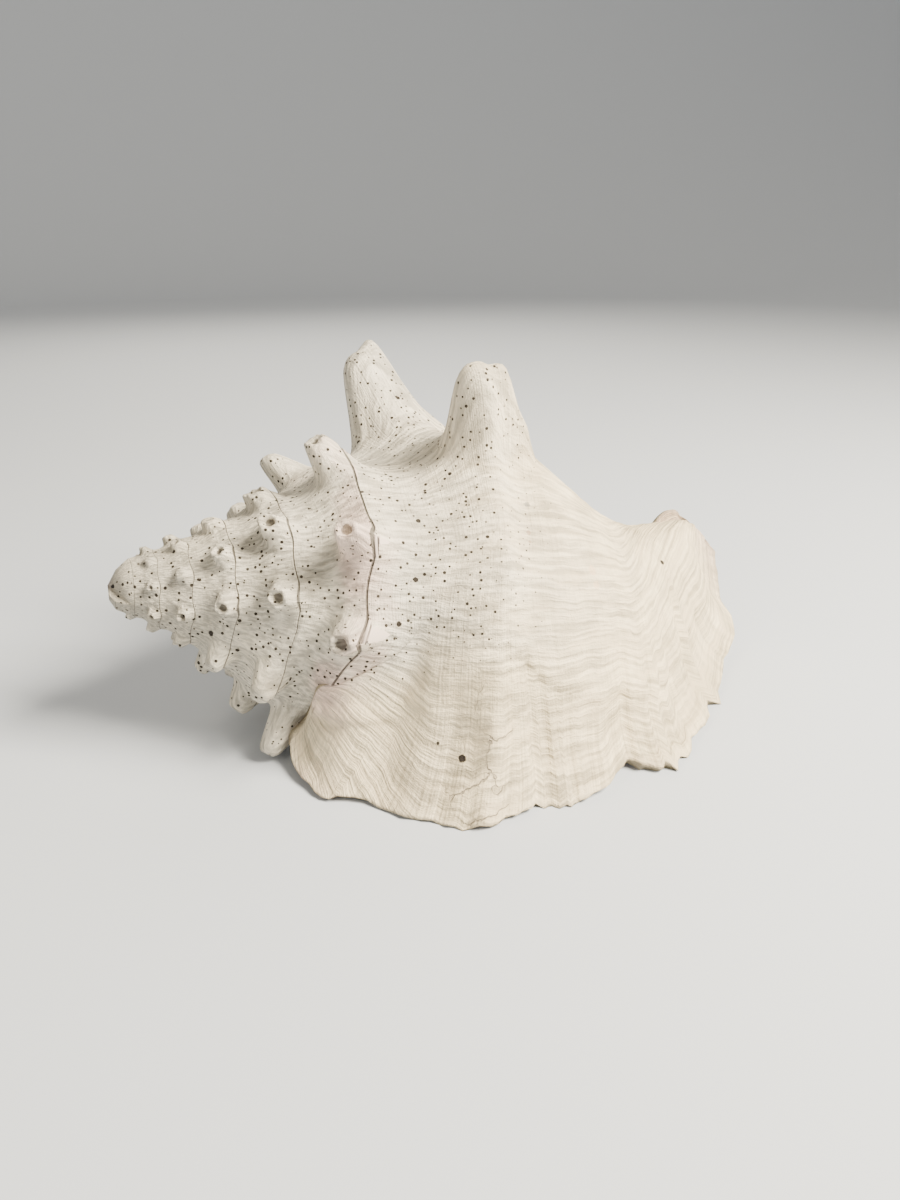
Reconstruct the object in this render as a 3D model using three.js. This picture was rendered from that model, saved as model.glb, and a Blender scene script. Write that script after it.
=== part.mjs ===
// A queen conch shell, old and bleached, lying on its aperture with the spire to the left.
// Millimetres, +Z up. The whole shell is one solid, grown as one piece.
//
// The outside is worked out as a snail lays it down. A growing edge turns round the coil's axis, and
// widens and slides forward as it turns. "turn" counts whorls: 0 where the lip leaves the coil, and
// less towards the apex. "side" runs along the growing edge: 0 at the suture, 1 where the next suture
// lies or would lie, 2 at the end of the canal. The lip is a sheet carried on from that edge to the
// margin, and the inside is the outside moved in by the thickness of the wall.
import * as THREE from "three";
import { mergeVertices } from "three/addons/utils/BufferGeometryUtils.js";

// The shell's own frame has its middle under the body whorl. The part's frame has its origin below the
// middle of the box round it, and a little of the lowest points is worn flat.
const PLACE = new THREE.Vector3(2.8, -1.5, -0.9);

// The coil's axis: it starts at the apex, swings away from the viewer and dips towards the canal.
const APEX = new THREE.Vector3(-107, -22, 55);
const AXIS_YAW = THREE.MathUtils.degToRad(21);
const AXIS_DIP = THREE.MathUtils.degToRad(10);
const LIP_ANGLE = THREE.MathUtils.degToRad(110);

// The suture's spiral: distance along the axis and radius, with their growth in one turn.
const SUTURE_REACH = 90;
const SUTURE_REACH_GROWTH = 1.33;
const SUTURE_START = 16.7;
const SUTURE_RADIUS = 43.3;
const SUTURE_RADIUS_GROWTH = 1.47;
const APEX_RADIUS = 2.8;
const APEX_DOME = 2.8;
const DOME_BULGE = 1;
const SPIRE_TURNS = 6;

// The shoulder line of the body whorl, past the last of the suture: turn, distance and radius. The
// suture climbs towards the spire and is drawn in where it ends, and swings round each spine.
const SHOULDER_TURNS = [0, 0.1, 0.35, 0.61, 0.736, 0.87, 0.99, 1.05];
const SHOULDER_REACH = [73.3, 77, 88, 101, 116, 110, 106, 105];
const SHOULDER_RADIUS = [45.9, 47, 50, 50.5, 47.5, 54, 64, 68];
const SUTURE_CLIMB = 9;
const CLIMB_WIDTH = 0.16;
const DRAW_WIDTH = 0.12;
const LAST_TURN = 0.02;
const SUTURE_SWING = 4.4;
const SWING_WIDTH = 0.03;
const SUTURE_SETTLE = 0.45;
const SUTURE_DRAW = 2.5;

// The growing edge from the suture to the canal: places along it, and the body's own distances, radii
// and growth in one turn at the last four.
const EDGE_PLACES = [0, 0.35, 0.66, 0.86, 1, 1.2, 1.42, 1.64, 1.84, 2];
const BODY_EDGE = [
  { reach: 139, reachGrowth: 1.34, radius: 54, radiusGrowth: 1.6 },
  { reach: 165, reachGrowth: 1.25, radius: 42, radiusGrowth: 1.9 },
  { reach: 188, reachGrowth: 1.18, radius: 32.5, radiusGrowth: 2.5 },
  { reach: 210, reachGrowth: 1.1, radius: 29, radiusGrowth: 2.8 },
];
const CANAL_FLOOR = 188;
const CANAL_SWEEP = 0.36;
const SKEW = 0.04;
const SAG = 0.24;
const UNDERSIDE_FLAT = 0.2;

// Spines: turn, place along the edge, height, half width round the coil and along the edge, and lean
// towards the apex. The first is the low knob by the lip. The tall blade on top and the other tall one
// are the next two pairs, the second of each pair broadening its side towards the canal.
const SPINES = [
  [-0.12, 0.88, 3, 12, 12, 0],
  [-0.273, 0.81, 32, 8.5, 9.6, 0.3],
  [-0.273, 1.03, 16.5, 7.4, 5, 0.02],
  [-0.401, 0.727, 37, 9.9, 10.5, 0.32],
  [-0.396, 0.97, 9.5, 9, 10, 0.02],
  [-0.52, 0.84, 13, 9, 9, 0.2],
  [-0.64, 0.86, 8, 9, 9, 0.1],
  [-0.76, 0.86, 7, 8, 8, 0.1],
  [-0.9, 0.58, 22, 6, 6, 0.55],
  [-1.07, 0.87, 15, 5.2, 5.6, 0.6],
  [-1.165, 0.87, 17, 5, 5.6, 0.6],
  [-1.29, 0.86, 16, 5.4, 6, 0.75],
  [-1.42, 0.8, 15, 5.8, 6, 0.9],
  [-1.54, 0.8, 10, 6, 6, 0.6],
  [-1.64, 0.8, 10, 6, 6, 0.6],
  [-1.74, 0.8, 9, 6, 6, 0.6],
  [-1.84, 0.79, 9, 5.6, 5.6, 0.6],
  [-1.965, 0.79, 10, 5.2, 5.2, 0.6],
  [-2.105, 0.79, 12, 4.6, 4.8, 0.6],
  [-2.21, 0.79, 9.5, 4.6, 4.8, 0.75],
  [-2.32, 0.79, 6.5, 4.8, 4.8, 0.9],
  [-2.44, 0.79, 5.5, 4.6, 4.6, 0.9],
  [-2.56, 0.79, 7, 4.4, 4.4, 0.7],
  [-2.68, 0.79, 7, 4.4, 4.4, 0.6],
  [-2.8, 0.79, 7, 4.2, 4.2, 0.6],
  [-2.95, 0.79, 7, 3.8, 3.8, 0.6],
  [-3.08, 0.79, 7.5, 3.4, 3.5, 0.6],
  [-3.19, 0.79, 5.5, 3.4, 3.4, 0.75],
  [-3.31, 0.79, 4, 3.4, 3.4, 0.9],
  [-3.43, 0.79, 3.6, 3.2, 3.2, 0.9],
];
const FIRST_EVEN_SPINE = -3.55;
const SPINE_STEP = 0.12;
const EVEN_SPINE = [9.5, 6.2, 0.7];
const EVEN_SPINE_SIDE = 0.79;
const FULL_SIZE_TURN = -1.2;
const FIRST_SPIRE_SPINE = 8;

// A spine's outline: a blunt stump on a broad foot, as shares of its height and of its half widths.
const STUMP_SHARE = 0.68;
const STUMP_WIDTH = 0.95;
const FOOT_WIDTH = 1.7;

// The margin of the lip, from the lobe beside the spire to the tip of the canal.
const MARGIN = [
  [0, -53.9, -38.1, 12],
  [0.1, -53.1, -40.8, 5],
  [0.22, -42.9, -54.5, 3],
  [0.33, -34.8, -55.9, 2.8],
  [0.45, -20.4, -62.3, 2.6],
  [0.6, -8.8, -67, 2.4],
  [0.75, 2.4, -69.2, 2.4],
  [0.88, 12.6, -63.7, 3.4],
  [1, 21.7, -58.7, 2.8],
  [1.12, 32.1, -56.9, 2.8],
  [1.22, 41.6, -48.4, 3.4],
  [1.32, 52.5, -41, 3.6],
  [1.42, 61.7, -39.7, 2.6],
  [1.49, 70.9, -29.8, 2.6],
  [1.54, 78, -15, 3],
  [1.59, 87.4, 4.7, 3.6],
  [1.63, 98.9, 30, 6],
  [1.665, 104.8, 46.1, 10],
  [1.7, 100.6, 54.9, 19],
  [1.735, 99.8, 58.5, 27],
  [1.77, 97.8, 62, 35],
  [1.8, 92.4, 60.6, 41],
  [1.84, 84.1, 62, 48],
];
const CANAL_TIP_ANGLE = -0.5;
const CANAL_TIP_RADIUS = 3;

// How the lip leaves the coil and reaches the margin: where it starts, how far it leans to the canal
// and to the spire, and how much it spreads away from a point on the axis.
const FLARE_START = 0.13;
const LEAN_TO_CANAL = 0.45;
const LEAN_TO_SPIRE = 1.3;
const SPREAD_FROM = 150;
const SPREAD_SHARE = 0.55;
const WALL = 3;
const LIP_WALL = 3.6;
const LIP_THINNING = 0.8;
const CAVITY_TURNS = 0.8;
const NUDGE = 0.004;

// Steps of the faceted solid.
const STEPS_PER_TURN = 50;
const RAMP_STEPS = [0, 0.2, 0.4, 0.56, 0.7, 0.8, 0.88, 0.94, 1];
const SIDE_STEPS = [1.1, 1.2, 1.31, 1.42, 1.53, 1.6, 1.66, 1.7, 1.735, 1.77, 1.81, 1.86, 1.93, 2];
const FLARE_STEPS = 7;

const AXIS = new THREE.Vector3(
  Math.cos(AXIS_DIP) * Math.cos(AXIS_YAW),
  Math.cos(AXIS_DIP) * Math.sin(AXIS_YAW),
  -Math.sin(AXIS_DIP),
);
const TOP = new THREE.Vector3(0, 0, 1).addScaledVector(AXIS, -AXIS.z).normalize();
const FRONT = new THREE.Vector3().crossVectors(AXIS, TOP);

// 0 below low, 1 above high, and a smooth step between.
function step(x, low, high) {
  const t = Math.min(Math.max((x - low) / (high - low), 0), 1);
  return t * t * (3 - 2 * t);
}

// A bell of height 1 at middle.
function bell(x, middle, width) {
  return Math.exp(-(((x - middle) / width) ** 2));
}

// A natural cubic spline: its second derivatives for values given at the knots.
function bends(knots, values) {
  const last = knots.length - 1;
  const ratio = new Array(last + 1).fill(0);
  const part = new Array(last + 1).fill(0);
  for (let i = 1; i < last; i++) {
    const before = knots[i] - knots[i - 1];
    const after = knots[i + 1] - knots[i];
    const turn = (values[i + 1] - values[i]) / after - (values[i] - values[i - 1]) / before;
    const pivot = 2 * (before + after) - before * ratio[i - 1];
    ratio[i] = after / pivot;
    part[i] = (6 * turn - before * part[i - 1]) / pivot;
  }
  for (let i = last - 1; i > 0; i--) part[i] -= ratio[i] * part[i + 1];
  return part;
}

function spline(x, knots, values) {
  const second = bends(knots, values);
  let i = 0;
  while (i < knots.length - 2 && x >= knots[i + 1]) i++;
  const width = knots[i + 1] - knots[i];
  const b = (x - knots[i]) / width;
  const a = 1 - b;
  const bend = (a ** 3 - a) * second[i] + (b ** 3 - b) * second[i + 1];
  return a * values[i] + b * values[i + 1] + (bend * width * width) / 6;
}

// Every spine, with the even ones of the early whorls added, each smaller than the next.
function allSpines() {
  const made = SPINES.map(([turn, side, height, round, along, lean]) => (
    { turn, side, height, round, along, lean }
  ));
  const side = EVEN_SPINE_SIDE;
  for (let turn = FIRST_EVEN_SPINE; turn > SPINE_STEP - SPIRE_TURNS; turn -= SPINE_STEP) {
    const size = SUTURE_RADIUS_GROWTH ** (turn - FULL_SIZE_TURN);
    const [height, width, lean] = EVEN_SPINE;
    const broad = width * size ** 0.8;
    made.push({ turn, side, height: height * size ** 0.85, round: broad, along: broad, lean });
  }
  return made;
}

const spines = allSpines();

// Distance along the axis and radius of the suture at a turn, swinging forward round each spine.
function suture(turn) {
  const grown = Math.min(turn, 0);
  let reach = SUTURE_REACH * SUTURE_REACH_GROWTH ** grown - SUTURE_START;
  let radius = SUTURE_RADIUS * SUTURE_RADIUS_GROWTH ** grown + APEX_RADIUS;
  if (turn > 0) {
    reach = spline(turn, SHOULDER_TURNS, SHOULDER_REACH);
    radius = spline(turn, SHOULDER_TURNS, SHOULDER_RADIUS);
  }
  const size = SUTURE_RADIUS_GROWTH ** grown;
  let swing = -SUTURE_SETTLE;
  for (const spine of spines.slice(FIRST_SPIRE_SPINE)) swing += bell(turn, spine.turn + 1, SWING_WIDTH);
  reach += SUTURE_SWING * size * swing * (1 - step(turn, 0, 0.3));
  reach -= SUTURE_CLIMB * bell(turn, LAST_TURN, CLIMB_WIDTH);
  radius -= SUTURE_DRAW * bell(turn, LAST_TURN, DRAW_WIDTH);
  return [reach, radius];
}

// The growing edge at a turn: distance along the axis and radius at a place on it.
function edge(turn, side) {
  const [reach0, radius0] = suture(turn);
  const [reach1, radius1] = suture(turn + 1);
  const long = reach1 - reach0;
  const wide = radius1 - radius0;
  const body = step(turn, -1.1, -0.6);
  const ramp = [
    [0.35, -0.02],
    [0.66, 0.05 + 0.01 * body],
    [0.91 - 0.05 * body, 0.09 - 0.02 * body],
  ];
  const reaches = [reach0];
  const radii = [radius0];
  for (const [part, out] of ramp) {
    reaches.push(reach0 + part * long - Math.max(out, 0) * 0.8 * wide);
    radii.push(radius0 + part * wide + out * long);
  }
  reaches.push(reach1);
  radii.push(radius1);
  for (const { reach, reachGrowth, radius, radiusGrowth } of BODY_EDGE) {
    reaches.push(reach * reachGrowth ** turn);
    radii.push(radius * radiusGrowth ** turn);
  }
  reaches.push(CANAL_FLOOR);
  radii.push(0);
  return [spline(side, EDGE_PLACES, reaches), Math.max(spline(side, EDGE_PLACES, radii), 0)];
}

// Round the axis at an angle from the top: the direction straight out.
function outward(angle) {
  return new THREE.Vector3()
    .addScaledVector(TOP, Math.cos(angle))
    .addScaledVector(FRONT, Math.sin(angle));
}

// The angle round the axis. Towards the canal the growing edge sweeps back.
function angleAt(turn, side) {
  return LIP_ANGLE + 2 * Math.PI * (turn - CANAL_SWEEP * step(side, 1.35, 2.05));
}

// The whorl without its spines: a point, its angle and its radius. Whorls skew and sag a little, and
// the body is flatter below.
function plain(turn, side) {
  let [reach, radius] = edge(turn, side);
  const angle = angleAt(turn, side);
  const down = Math.max(-Math.cos(angle), 0);
  radius *= 1 - UNDERSIDE_FLAT * step(turn + Math.min(side, 1), -0.95, -0.3) * down ** 2;
  const tilt = SKEW * Math.cos(angle) - SAG * down * step(reach, 10, 50);
  reach += radius * tilt * (1 - step(reach, 80, 150));
  const point = APEX.clone().addScaledVector(AXIS, reach).addScaledVector(outward(angle), radius);
  return { point, angle, radius };
}

for (const spine of spines) {
  const { angle, radius } = plain(spine.turn, spine.side);
  const before = plain(spine.turn, spine.side - 0.02).point;
  const after = plain(spine.turn, spine.side + 0.02).point;
  spine.girth = 2 * Math.PI * radius;
  spine.length = before.distanceTo(after) / 0.04;
  spine.way = outward(angle).multiplyScalar(Math.cos(spine.lean));
  spine.way.addScaledVector(AXIS, -Math.sin(spine.lean));
}

// The outside of the coil: a blunt stump on a broad foot for each spine, and nothing at a suture.
function coil(turn, side) {
  const { point } = plain(turn, side);
  const nearSuture = turn < -0.98 ? 1 - step(side, 0.94, 1) : 1;
  const shown = nearSuture * step(side, 0, 0.15) * (1 - step(side, 1.5, 1.9));
  for (const spine of spines) {
    if (Math.abs(turn - spine.turn) > 0.2) continue;
    const round = ((turn - spine.turn) * spine.girth) / spine.round;
    const along = ((side - spine.side) * spine.length) / spine.along;
    const far = Math.hypot(round, along);
    const stump = STUMP_SHARE * Math.exp(-((far / STUMP_WIDTH) ** 4));
    const rise = stump + (1 - STUMP_SHARE) * bell(far, 0, FOOT_WIDTH);
    point.addScaledVector(spine.way, spine.height * rise * shown);
  }
  return point;
}

// The turn at which the lip leaves the coil.
function flareTurn(side) {
  return -FLARE_START * step(side, 0, 0.55) * (1 - 0.5 * step(side, 1.5, 2));
}

const canalTip = APEX.clone().addScaledVector(AXIS, CANAL_FLOOR);
const marginEnd = canalTip.clone().addScaledVector(outward(CANAL_TIP_ANGLE), CANAL_TIP_RADIUS);
const marginKnots = [...MARGIN.map(([side]) => side), 2];
const marginAxes = [1, 2, 3].map((axis) => [
  ...MARGIN.map((row) => row[axis]),
  marginEnd.getComponent(axis - 1),
]);

function margin(side) {
  return new THREE.Vector3(...marginAxes.map((values) => spline(side, marginKnots, values)));
}

// The outside of the lip: a smooth sheet from the coil (0) to the margin (1), leaving the coil along
// the way it grew, bent to the spire beside the suture and to the canal at the other end.
function flare(spread, side) {
  const turn = flareTurn(side);
  const start = coil(turn, side);
  const end = margin(side);
  const length = start.distanceTo(end);
  const growth = coil(turn + 0.001, side).sub(coil(turn - 0.001, side)).normalize();
  const high = Math.min(side + 0.01, 2);
  const low = Math.max(side - 0.01, 0);
  const across = coil(turn, high).sub(coil(turn, low)).normalize();
  const toSpire = 1 - step(side, 0, 0.45);
  const toCanal = step(side, 1, 1.9);
  const leave = growth.multiplyScalar(1 - 0.8 * toSpire);
  leave.addScaledVector(across, LEAN_TO_CANAL * toCanal - LEAN_TO_SPIRE * toSpire).setLength(length);
  const away = end.clone().sub(APEX).addScaledVector(AXIS, -SPREAD_FROM).setZ(0).normalize();
  const arrive = end.clone().sub(start).normalize();
  arrive.addScaledVector(away, SPREAD_SHARE).setLength(length);
  const t = spread;
  return start
    .multiplyScalar(2 * t ** 3 - 3 * t ** 2 + 1)
    .addScaledVector(leave, t ** 3 - 2 * t ** 2 + t)
    .addScaledVector(end, -2 * t ** 3 + 3 * t ** 2)
    .addScaledVector(arrive, t ** 3 - t ** 2);
}

// The outside moved in by the wall's thickness: a surface is given as a function of two places.
function movedIn(surface, first, second, thickness) {
  const along = surface(first + NUDGE, second).sub(surface(first - NUDGE, second));
  const high = Math.min(second + NUDGE, 2);
  const low = Math.max(second - NUDGE, 0);
  const across = surface(first, high).sub(surface(first, low));
  const normal = along.cross(across).normalize();
  return surface(first, second).addScaledVector(normal, -thickness);
}

const sides = [...RAMP_STEPS, ...SIDE_STEPS];
const wallSides = SIDE_STEPS.slice(0, -1);
const firstWallSide = wallSides[0];
const lastWallSide = wallSides[wallSides.length - 1];

// The coil's turn at a step of the body whorl, whose last step is where the lip leaves.
function bodyTurn(t, side) {
  return -1 + t * (1 + flareTurn(side));
}

// The old whorl inside the opening, which the cavity's floor runs along.
function oldWhorl(back, side) {
  return coil(-1 - back, side);
}

// The inner wall, back turns behind the lip. At both ends it closes on the old whorl.
function innerWall(back, side) {
  const point = movedIn(coil, bodyTurn(1 - back, side), side, WALL);
  point.lerp(oldWhorl(back, firstWallSide), 1 - step(side, 0, 0.2));
  return point.lerp(oldWhorl(back, lastWallSide), step(side, 1.8, 2));
}

// The inside of the lip, thinner at the margin.
function innerLip(spread, side) {
  const thickness = LIP_WALL - LIP_THINNING * spread;
  const point = movedIn(flare, Math.min(Math.max(spread, 0.01), 0.99), side, thickness);
  if (spread === 1) {
    point.add(margin(side)).sub(flare(0.99, side));
  }
  return point.lerp(innerWall(0, side), 1 - step(spread, 0, 0.3));
}

const positions = [];

// A triangle moved to the part's frame, flat where it would pass through what the shell lies on.
function addTriangle(a, b, c) {
  for (const corner of [a, b, c]) {
    const placed = corner.clone().add(PLACE);
    positions.push(placed.x, placed.y, Math.max(placed.z, 0));
  }
}

// A patch of two triangles for each step, given its rows of points.
function addPatch(rows) {
  for (let i = 0; i + 1 < rows.length; i++) {
    for (let j = 0; j + 1 < rows[i].length; j++) {
      addTriangle(rows[i][j], rows[i + 1][j], rows[i + 1][j + 1]);
      addTriangle(rows[i][j], rows[i + 1][j + 1], rows[i][j + 1]);
    }
  }
}

function steps(count, from = 0, to = 1) {
  return Array.from({ length: count + 1 }, (_, i) => from + ((to - from) * i) / count);
}

const turnSteps = steps(STEPS_PER_TURN);
const spreadSteps = steps(FLARE_STEPS);
const backSteps = steps(STEPS_PER_TURN * CAVITY_TURNS, 0, CAVITY_TURNS);
const spireTurns = steps(STEPS_PER_TURN * (SPIRE_TURNS - 1), -SPIRE_TURNS, -1);

// The outside: the spire, the body whorl and the lip.
addPatch(spireTurns.map((turn) => RAMP_STEPS.map((side) => coil(turn, side))));
addPatch(turnSteps.map((t) => sides.map((side) => coil(bodyTurn(t, side), side))));
addPatch(spreadSteps.map((spread) => sides.map((side) => flare(spread, side))));

// The blunt, worn apex closes the first whorl.
const firstWhorl = [
  ...turnSteps.map((t) => coil(t - SPIRE_TURNS, 0)),
  ...[...RAMP_STEPS].reverse().slice(1).map((side) => coil(-SPIRE_TURNS, side)),
];
const apexTip = APEX.clone().addScaledVector(AXIS, -APEX_DOME);
addPatch(
  firstWhorl.map((rim) => {
    const shoulder = rim.clone().lerp(apexTip, 0.4).addScaledVector(AXIS, -DOME_BULGE);
    return [apexTip, shoulder, rim];
  }),
);

// The inside: the old whorl, the inner wall, the inner face of the lip, and the rims between.
addPatch([...backSteps].reverse().map((back) => wallSides.map((side) => oldWhorl(back, side))));
addPatch(backSteps.map((back) => sides.map((side) => innerWall(back, side))));
addPatch([...spreadSteps].reverse().map((spread) => sides.map((side) => innerLip(spread, side))));
addPatch([sides.map((side) => flare(1, side)), sides.map((side) => innerLip(1, side))]);
addPatch(spreadSteps.map((spread) => [innerLip(spread, 0), flare(spread, 0)]));
addPatch(spreadSteps.map((spread) => [flare(spread, 2), innerLip(spread, 2)]));

// The end of the cavity.
const roof = sides.map((side) => innerWall(CAVITY_TURNS, side));
const floor = wallSides.map((side) => oldWhorl(CAVITY_TURNS, side));
const middle = new THREE.Vector3();
for (const point of [...roof, ...floor]) middle.addScaledVector(point, 1 / (roof.length + floor.length));
addPatch([roof.map(() => middle), roof].map((row) => [...row].reverse()));
addPatch([floor.map(() => middle), floor]);

// One closed surface: shared corners are merged, and faces that have shrunk to a line are dropped.
function closed(corners) {
  const loose = new THREE.BufferGeometry();
  loose.setAttribute("position", new THREE.Float32BufferAttribute(corners, 3));
  const merged = mergeVertices(loose, 1e-3);
  const index = merged.index.array;
  const kept = [];
  for (let i = 0; i < index.length; i += 3) {
    const [a, b, c] = index.slice(i, i + 3);
    if (a !== b && b !== c && c !== a) kept.push(a, b, c);
  }
  merged.setIndex(kept);
  merged.computeVertexNormals();
  return merged;
}

const bleached = new THREE.MeshStandardMaterial({ color: 0xe6ded2, roughness: 0.75, metalness: 0 });
const shell = new THREE.Mesh(closed(positions), bleached);
shell.name = "shell";

const conch = new THREE.Group();
conch.add(shell);

export default conch;
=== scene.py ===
"""An old, bleached queen conch shell, lying on its opening with the spire to the left.

The shell is worked out as a snail lays it down. A growing edge turns round the coil's axis, and widens
and slides forward as it turns. "turn" counts whorls: 0 where the lip leaves the coil, and less towards
the apex. "side" runs along the growing edge: 0 at the suture, 1 where the next suture lies or would
lie, 2 at the end of the canal. Every surface is a function of two such places. Lengths in the tables
and formulas are millimetres, and metres in the mesh.
"""

import math

import bpy
import numpy as np
from bpy.props import FloatProperty, FloatVectorProperty, PointerProperty
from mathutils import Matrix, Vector


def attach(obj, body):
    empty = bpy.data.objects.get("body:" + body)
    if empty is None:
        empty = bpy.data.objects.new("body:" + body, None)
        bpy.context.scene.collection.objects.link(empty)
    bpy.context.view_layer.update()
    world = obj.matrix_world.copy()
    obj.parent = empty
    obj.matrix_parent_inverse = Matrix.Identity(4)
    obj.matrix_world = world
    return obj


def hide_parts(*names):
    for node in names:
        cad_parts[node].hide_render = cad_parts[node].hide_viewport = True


bl_info = {
    "name": "Queen conch shell",
    "version": (1, 0, 0),
    "blender": (4, 5, 0),
    "location": "View3D > Sidebar > Conch",
    "description": "Builds a bleached queen conch shell and a plain stage for it",
    "category": "Object",
}

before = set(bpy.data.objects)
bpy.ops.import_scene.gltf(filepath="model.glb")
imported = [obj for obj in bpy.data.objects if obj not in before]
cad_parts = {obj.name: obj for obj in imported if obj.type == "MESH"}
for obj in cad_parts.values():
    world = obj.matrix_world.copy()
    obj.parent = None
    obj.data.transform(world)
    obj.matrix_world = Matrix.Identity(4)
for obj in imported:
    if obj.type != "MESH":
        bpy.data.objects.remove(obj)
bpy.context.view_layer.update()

# The part's frame has its origin below the middle of the box round the shell.
PLACE = np.array([2.8, -1.5, -0.9])

# The coil's axis: it starts at the apex, swings away from the viewer and dips towards the canal.
APEX = np.array([-107.0, -22.0, 55.0])
AXIS_YAW = math.radians(21)
AXIS_DIP = math.radians(10)
LIP_ANGLE = math.radians(110)
AXIS = np.array([
    math.cos(AXIS_DIP) * math.cos(AXIS_YAW),
    math.cos(AXIS_DIP) * math.sin(AXIS_YAW),
    -math.sin(AXIS_DIP),
])
TOP = np.array([0.0, 0.0, 1.0]) - AXIS * AXIS[2]
TOP /= np.linalg.norm(TOP)
FRONT = np.cross(AXIS, TOP)

# The suture's spiral: distance along the axis and radius, with their growth in one turn.
SUTURE_REACH = 90.0
SUTURE_REACH_GROWTH = 1.33
SUTURE_START = 16.7
SUTURE_RADIUS = 43.3
SUTURE_RADIUS_GROWTH = 1.47
APEX_RADIUS = 2.8
APEX_DOME = 2.8
SPIRE_TURNS = 6

# The shoulder line of the body whorl, past the last of the suture: turn, distance and radius.
SHOULDER_TURNS = [0, 0.1, 0.35, 0.61, 0.736, 0.87, 0.99, 1.05]
SHOULDER_REACH = [73.3, 77, 88, 101, 116, 110, 106, 105]
SHOULDER_RADIUS = [45.9, 47, 50, 50.5, 47.5, 54, 64, 68]
SUTURE_CLIMB = 9.0
SUTURE_SWING = 4.4
SUTURE_SETTLE = 0.45
SUTURE_DRAW = 2.5
RAMP_HOLLOW = 0.05
SUTURE_CREASE = 0.45

# The growing edge from the suture to the canal: places along it, and the body's own distances, radii
# and growth in one turn at the last four: reach, its growth, radius, its growth.
EDGE_PLACES = [0, 0.35, 0.66, 0.86, 1, 1.2, 1.42, 1.64, 1.84, 2]
BODY_EDGE = [
    (139, 1.34, 54, 1.6),
    (165, 1.25, 42, 1.9),
    (188, 1.18, 32.5, 2.5),
    (210, 1.1, 29, 2.8),
]
CANAL_FLOOR = 188.0
CANAL_SWEEP = 0.36
SKEW = 0.04
SAG = 0.24
UNDERSIDE_FLAT = 0.2

# Spines: turn, place along the edge, height, half width round the coil and along the edge, lean
# towards the apex, and how far the tip is broken open. The low knob by the lip is first, then the tall
# blade and the tall spine on top, and the row of the last whorl of the spire.
SPINES = [
    (-0.12, 0.88, 3, 12, 12, 0, 0),
    (-0.273, 0.81, 32, 8.5, 9.6, 0.3, 0.05),
    (-0.273, 1.03, 13.5, 7.4, 5.4, 0.02, 0),
    (-0.401, 0.727, 37, 9.9, 10.5, 0.32, 0.05),
    (-0.396, 0.97, 9.5, 9, 10, 0.02, 0),
    (-0.52, 0.84, 13, 9, 9, 0.2, 0),
    (-0.64, 0.86, 8, 9, 9, 0.1, 0),
    (-0.76, 0.86, 7, 8, 8, 0.1, 0),
    (-0.9, 0.58, 22, 6, 6, 0.55, 0.1),
    (-1.07, 0.82, 18.5, 5.2, 5.6, 0.6, 1),
    (-1.165, 0.82, 20.7, 5, 5.6, 0.6, 1),
    (-1.29, 0.82, 19.6, 5.4, 6, 0.75, 1),
    (-1.42, 0.77, 18.4, 5.8, 6, 0.9, 0.1),
    (-1.54, 0.8, 12.6, 6, 6, 0.6, 0.2),
    (-1.64, 0.8, 12.6, 6, 6, 0.6, 0.2),
    (-1.74, 0.8, 11.4, 6, 6, 0.6, 0.2),
    (-1.84, 0.8, 11.4, 5.6, 5.6, 0.6, 0.2),
    (-1.965, 0.8, 12.5, 5.2, 5.2, 0.6, 0.2),
    (-2.105, 0.8, 14.6, 4.6, 4.8, 0.6, 1),
    (-2.21, 0.8, 11.8, 4.6, 4.8, 0.75, 1),
    (-2.32, 0.8, 8.5, 4.8, 4.8, 0.9, 1),
    (-2.44, 0.8, 7.4, 4.6, 4.6, 0.9, 0.2),
    (-2.56, 0.8, 8.9, 4.4, 4.4, 0.7, 0.2),
    (-2.68, 0.8, 8.9, 4.4, 4.4, 0.6, 0.2),
    (-2.8, 0.8, 8.9, 4.2, 4.2, 0.6, 0.2),
    (-2.95, 0.8, 8.9, 3.8, 3.8, 0.6, 0.2),
    (-3.08, 0.8, 9.4, 3.4, 3.5, 0.6, 1),
    (-3.19, 0.8, 7.2, 3.4, 3.4, 0.75, 1),
    (-3.31, 0.8, 5.5, 3.4, 3.4, 0.9, 0.3),
    (-3.43, 0.8, 5, 3.2, 3.2, 0.9, 0.2),
]
FIRST_SPIRE_SPINE = 8
FIRST_EVEN_SPINE = -3.55
SPINE_STEP = 0.12
EVEN_SPINE = (11, 5.6, 0.7)
EVEN_SPINE_SIDE = 0.77
STUMP_SHARE = 0.68
STUMP_WIDTH = 0.95
FOOT_WIDTH = 1.7

# The margin of the lip, from the lobe beside the spire to the tip of the canal: side, x, y, z.
MARGIN = [
    (0, -53.9, -38.1, 12),
    (0.1, -53.1, -40.8, 5),
    (0.22, -42.9, -54.5, 3),
    (0.33, -34.8, -55.9, 2.8),
    (0.45, -20.4, -62.3, 2.6),
    (0.6, -8.8, -67, 2.4),
    (0.75, 2.4, -69.2, 2.4),
    (0.88, 12.6, -63.7, 3.4),
    (1, 21.7, -58.7, 2.8),
    (1.12, 32.1, -56.9, 2.8),
    (1.22, 41.6, -48.4, 3.4),
    (1.32, 52.5, -41, 3.6),
    (1.42, 61.7, -39.7, 2.6),
    (1.49, 70.9, -29.8, 2.6),
    (1.54, 78, -15, 3),
    (1.59, 87.4, 4.7, 3.6),
    (1.63, 98.9, 30, 6),
    (1.665, 104.8, 46.1, 10),
    (1.7, 100.6, 54.9, 19),
    (1.735, 99.8, 58.5, 27),
    (1.77, 97.8, 62, 35),
    (1.8, 92.4, 60.6, 41),
    (1.84, 84.1, 62, 48),
]
FLARE_START = 0.13
FLARE_TURNS = 0.2
FLARE_SPREAD = 0.95
CAVITY_TURNS = 0.8

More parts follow.
